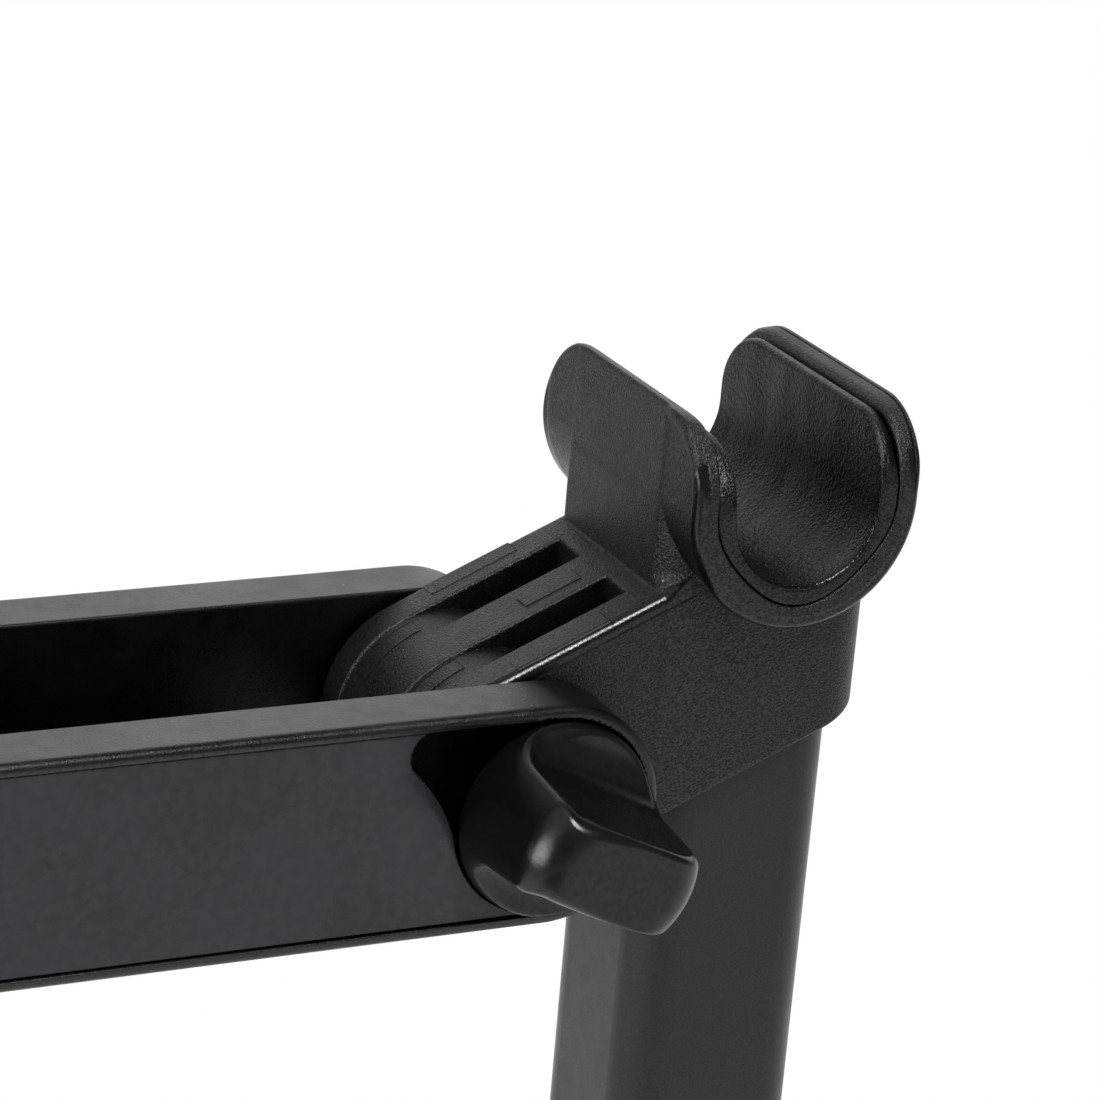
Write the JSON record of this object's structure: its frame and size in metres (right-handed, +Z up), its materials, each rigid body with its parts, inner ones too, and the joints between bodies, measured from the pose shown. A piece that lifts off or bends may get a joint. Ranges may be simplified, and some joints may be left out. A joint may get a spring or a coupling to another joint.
{
  "type": "swivel bracket",
  "caption": "Folding swivel bracket: U-shaped arm, slanted tongue head with padded tube cradle, square post and locking knob.",
  "frame": {"origin": "pivot axis of the swivel, midway between the arm's two walls", "axes": "+Y along the pivot axis away from the knob, +Z up along the square post, arm along -X, head and post towards +X"},
  "size_m": [0.2459, 0.1069, 0.2235],
  "materials": {
    "arm_moulding": "satin moulded plastic",
    "inlay": "smooth semi-gloss",
    "head_moulding": "fine spark-grained moulded plastic",
    "liner": "leather-grained soft plastic",
    "knob_moulding": "smooth satin",
    "post_coating": "satin powder coat",
    "steel": "turned steel",
    "brass": "turned brass",
    "washer": "natural plastic"
  },
  "bodies": {
    "arm": {"arm_frame": "arm_moulding", "inlay_panel_near": "inlay", "inlay_panel_far": "inlay", "wall_bush_near": "steel", "wall_bush_far": "steel", "lock_nut": "steel", "nut_cover": "knob_moulding", "end_block": "arm_moulding", "end_block_screws": "steel", "end_inserts": "brass"},
    "head": {"head_bracket": "head_moulding", "pivot_sleeve": "steel", "friction_washer_near": "washer", "friction_washer_far": "washer", "cradle_liner": "liner", "post_tube": "post_coating", "post_anchor": "head_moulding", "post_screws": "steel", "foot_plug": "head_moulding", "foot_sleeve": "steel"},
    "knob_carrier": {"thrust_washer": "steel"},
    "knob": {"knob_grip": "knob_moulding", "knob_insert": "brass", "pivot_stud": "steel", "stop_ring": "steel"}
  },
  "joints": [
    {"name": "head_fold", "type": "hinge", "parent": "arm", "child": "head", "pos_m": [0, 0, 0], "axis": [0, 1, 0], "range_deg": [-90, 90]},
    {"name": "knob_feed", "type": "slide", "parent": "arm", "child": "knob_carrier", "axis": [0, -1, 0], "range_m": [0, 0.00156]},
    {"name": "knob_turn", "type": "hinge", "parent": "knob_carrier", "child": "knob", "pos_m": [0, 0, 0], "axis": [0, -1, 0], "range_deg": [0, 450]}
  ],
  "couplings": [
    {"joint": "knob_turn", "follows": "knob_feed", "rad_per_m": 5026.5}
  ]
}
